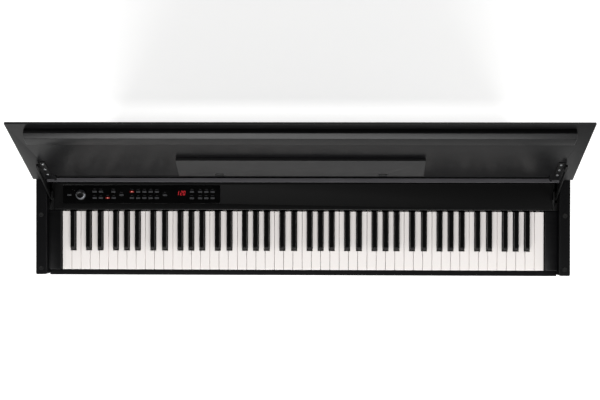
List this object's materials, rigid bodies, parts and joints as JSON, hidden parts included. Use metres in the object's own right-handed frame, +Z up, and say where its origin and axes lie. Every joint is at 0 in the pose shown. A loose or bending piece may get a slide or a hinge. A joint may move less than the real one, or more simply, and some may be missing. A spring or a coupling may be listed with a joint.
{
  "type": "digital piano on stand",
  "caption": "Full-size digital piano with weighted keys, hinged lid standing open, fold-out music rest, control panel and a slab-sided stand with a pedal unit.",
  "frame": {"origin": "on the floor, under the middle of the body", "axes": "+X along the keyboard from bass to treble, +Z up, the player sits at -Y"},
  "size_m": [1.346, 0.377, 1.004],
  "materials": {
    "black_laminate": "fine matte black laminate on particle board",
    "backing_board": "black faced hardboard",
    "black_plastic": "fine moulded texture",
    "gloss_acrylic": "polished black acrylic",
    "display": "red lit figures behind tinted window",
    "circuit_board": "solder-masked board",
    "button_grey": "moulded grey",
    "black_steel": "satin black powder coat",
    "plated_steel": "zinc plated",
    "pedal_metal": "polished",
    "rubber": "moulded rubber",
    "felt": "pressed wool felt",
    "white_key": "satin ivory white",
    "black_key": "satin black"
  },
  "bodies": {
    "cabinet": {"side_panel_left": "black_laminate", "side_panel_right": "black_laminate", "rear_top_board": "black_laminate", "rear_cover": "backing_board", "keybed": "black_laminate", "key_slip": "black_laminate", "key_blocks": "black_laminate", "floor_feet": "rubber", "hinge_rail": "black_laminate", "hinge_strip": "black_plastic", "lid_buffers": "rubber", "body_screws": "plated_steel", "hinge_fixed_leaf": "plated_steel", "stay_guides": "black_plastic", "control_panel": "black_plastic", "control_fascia": "gloss_acrylic", "display_module": "display", "circuit_boards": "circuit_board", "key_frame": "black_steel", "key_pivot_rod": "plated_steel", "key_felt": "felt", "speakers": "black_steel", "speaker_grilles": "black_steel", "headphone_box": "black_plastic", "socket_box": "black_plastic", "stand_back_panel": "black_laminate", "pedal_rail": "black_laminate", "pedal_case": "black_plastic", "pedal_axle": "plated_steel", "pedal_springs": "plated_steel", "pedal_support_foot": "rubber"},
    "lid": {"lid_board": "black_laminate", "lid_front_rail": "black_laminate", "hinge_lid_leaf": "plated_steel", "stay_brackets": "black_steel", "lid_screws": "plated_steel", "music_rest_hinges": "black_steel"},
    "stay_left": {"stay_arm_left": "black_steel"},
    "stay_right": {"stay_arm_right": "black_steel"},
    "music_rest": {"music_rest": "black_laminate"},
    "volume_knob": {"volume_knob": "black_plastic"},
    "power_button": {"power_button": "button_grey"},
    "effect_buttons": {"effect_buttons": "button_grey"},
    "sound_buttons": {"sound_buttons": "button_grey"},
    "recorder_buttons": {"recorder_buttons": "button_grey"},
    "pedal_soft": {"pedal_soft": "pedal_metal"},
    "pedal_sostenuto": {"pedal_sostenuto": "pedal_metal"},
    "pedal_damper": {"pedal_damper": "pedal_metal"},
    "white_keys_c": {"white_keys_c": "white_key"},
    "white_keys_d": {"white_keys_d": "white_key"},
    "white_keys_e": {"white_keys_e": "white_key"},
    "white_keys_f": {"white_keys_f": "white_key"},
    "white_keys_g": {"white_keys_g": "white_key"},
    "white_keys_a": {"white_keys_a": "white_key"},
    "white_keys_b": {"white_keys_b": "white_key"},
    "black_keys_c_sharp": {"black_keys_c_sharp": "black_key"},
    "black_keys_d_sharp": {"black_keys_d_sharp": "black_key"},
    "black_keys_f_sharp": {"black_keys_f_sharp": "black_key"},
    "black_keys_g_sharp": {"black_keys_g_sharp": "black_key"},
    "black_keys_a_sharp": {"black_keys_a_sharp": "black_key"}
  },
  "joints": [
    {"name": "lid_hinge", "type": "hinge", "parent": "cabinet", "child": "lid", "pos_m": [0, 0.065, 0.7715], "axis": [1, 0, 0], "range_deg": [0, 118.5]},
    {"name": "stay_left_pivot", "type": "hinge", "parent": "lid", "child": "stay_left", "pos_m": [0, 0.08384, 0.8523], "axis": [1, 0, 0], "range_deg": [-18.9, 0.1]},
    {"name": "stay_right_pivot", "type": "hinge", "parent": "lid", "child": "stay_right", "pos_m": [0, 0.08384, 0.8523], "axis": [1, 0, 0], "range_deg": [-18.9, 0.1]},
    {"name": "music_rest_hinge", "type": "hinge", "parent": "lid", "child": "music_rest", "pos_m": [0, 0.06517, 0.82148], "axis": [-1, 0, 0], "range_deg": [-80, 0]},
    {"name": "volume_turn", "type": "hinge", "parent": "cabinet", "child": "volume_knob", "pos_m": [-0.5625, 0.0146, 0.7385], "axis": [0, 0, 1], "range_deg": [-150, 150]},
    {"name": "power_press", "type": "slide", "parent": "cabinet", "child": "power_button", "axis": [0, 0, -1], "range_m": [0, 0.0008], "stiffness_N_per_m": 600, "springref_m": -0.001},
    {"name": "effect_press", "type": "slide", "parent": "cabinet", "child": "effect_buttons", "axis": [0, 0, -1], "range_m": [0, 0.0008], "stiffness_N_per_m": 1500, "springref_m": -0.001},
    {"name": "sound_press", "type": "slide", "parent": "cabinet", "child": "sound_buttons", "axis": [0, 0, -1], "range_m": [0, 0.0008], "stiffness_N_per_m": 1500, "springref_m": -0.001},
    {"name": "recorder_press", "type": "slide", "parent": "cabinet", "child": "recorder_buttons", "axis": [0, 0, -1], "range_m": [0, 0.0008], "stiffness_N_per_m": 1500, "springref_m": -0.001},
    {"name": "white_key_c_press", "type": "hinge", "parent": "cabinet", "child": "white_keys_c", "pos_m": [0, 0.033, 0.713], "axis": [1, 0, 0], "range_deg": [0, 2.75], "stiffness_Nm_per_rad": 12, "springref_deg": -6.88},
    {"name": "white_key_d_press", "type": "hinge", "parent": "cabinet", "child": "white_keys_d", "pos_m": [0, 0.033, 0.713], "axis": [1, 0, 0], "range_deg": [0, 2.75], "stiffness_Nm_per_rad": 12, "springref_deg": -6.88},
    {"name": "white_key_e_press", "type": "hinge", "parent": "cabinet", "child": "white_keys_e", "pos_m": [0, 0.033, 0.713], "axis": [1, 0, 0], "range_deg": [0, 2.75], "stiffness_Nm_per_rad": 12, "springref_deg": -6.88},
    {"name": "white_key_f_press", "type": "hinge", "parent": "cabinet", "child": "white_keys_f", "pos_m": [0, 0.033, 0.713], "axis": [1, 0, 0], "range_deg": [0, 2.75], "stiffness_Nm_per_rad": 12, "springref_deg": -6.88},
    {"name": "white_key_g_press", "type": "hinge", "parent": "cabinet", "child": "white_keys_g", "pos_m": [0, 0.033, 0.713], "axis": [1, 0, 0], "range_deg": [0, 2.75], "stiffness_Nm_per_rad": 12, "springref_deg": -6.88},
    {"name": "white_key_a_press", "type": "hinge", "parent": "cabinet", "child": "white_keys_a", "pos_m": [0, 0.033, 0.713], "axis": [1, 0, 0], "range_deg": [0, 2.75], "stiffness_Nm_per_rad": 12, "springref_deg": -6.88},
    {"name": "white_key_b_press", "type": "hinge", "parent": "cabinet", "child": "white_keys_b", "pos_m": [0, 0.033, 0.713], "axis": [1, 0, 0], "range_deg": [0, 2.75], "stiffness_Nm_per_rad": 12, "springref_deg": -6.88},
    {"name": "black_key_c_sharp_press", "type": "hinge", "parent": "cabinet", "child": "black_keys_c_sharp", "pos_m": [0, 0.033, 0.713], "axis": [1, 0, 0], "range_deg": [0, 2.75], "stiffness_Nm_per_rad": 12, "springref_deg": -6.88},
    {"name": "black_key_d_sharp_press", "type": "hinge", "parent": "cabinet", "child": "black_keys_d_sharp", "pos_m": [0, 0.033, 0.713], "axis": [1, 0, 0], "range_deg": [0, 2.75], "stiffness_Nm_per_rad": 12, "springref_deg": -6.88},
    {"name": "black_key_f_sharp_press", "type": "hinge", "parent": "cabinet", "child": "black_keys_f_sharp", "pos_m": [0, 0.033, 0.713], "axis": [1, 0, 0], "range_deg": [0, 2.75], "stiffness_Nm_per_rad": 12, "springref_deg": -6.88},
    {"name": "black_key_g_sharp_press", "type": "hinge", "parent": "cabinet", "child": "black_keys_g_sharp", "pos_m": [0, 0.033, 0.713], "axis": [1, 0, 0], "range_deg": [0, 2.75], "stiffness_Nm_per_rad": 12, "springref_deg": -6.88},
    {"name": "black_key_a_sharp_press", "type": "hinge", "parent": "cabinet", "child": "black_keys_a_sharp", "pos_m": [0, 0.033, 0.713], "axis": [1, 0, 0], "range_deg": [0, 2.75], "stiffness_Nm_per_rad": 12, "springref_deg": -6.88},
    {"name": "pedal_soft_press", "type": "hinge", "parent": "cabinet", "child": "pedal_soft", "pos_m": [0, 0.083, 0.088], "axis": [1, 0, 0], "range_deg": [0, 6.3], "stiffness_Nm_per_rad": 10, "springref_deg": -5.73, "deforming": ["pedal_springs"]},
    {"name": "pedal_sostenuto_press", "type": "hinge", "parent": "cabinet", "child": "pedal_sostenuto", "pos_m": [0, 0.083, 0.088], "axis": [1, 0, 0], "range_deg": [0, 6.3], "stiffness_Nm_per_rad": 10, "springref_deg": -5.73, "deforming": ["pedal_springs"]},
    {"name": "pedal_damper_press", "type": "hinge", "parent": "cabinet", "child": "pedal_damper", "pos_m": [0, 0.083, 0.088], "axis": [1, 0, 0], "range_deg": [0, 6.3], "stiffness_Nm_per_rad": 10, "springref_deg": -5.73, "deforming": ["pedal_springs"]}
  ],
  "couplings": [
    {"joint": "stay_left_pivot", "follows": "lid_hinge", "ratio": -0.1586},
    {"joint": "stay_right_pivot", "follows": "lid_hinge", "ratio": -0.1586}
  ]
}
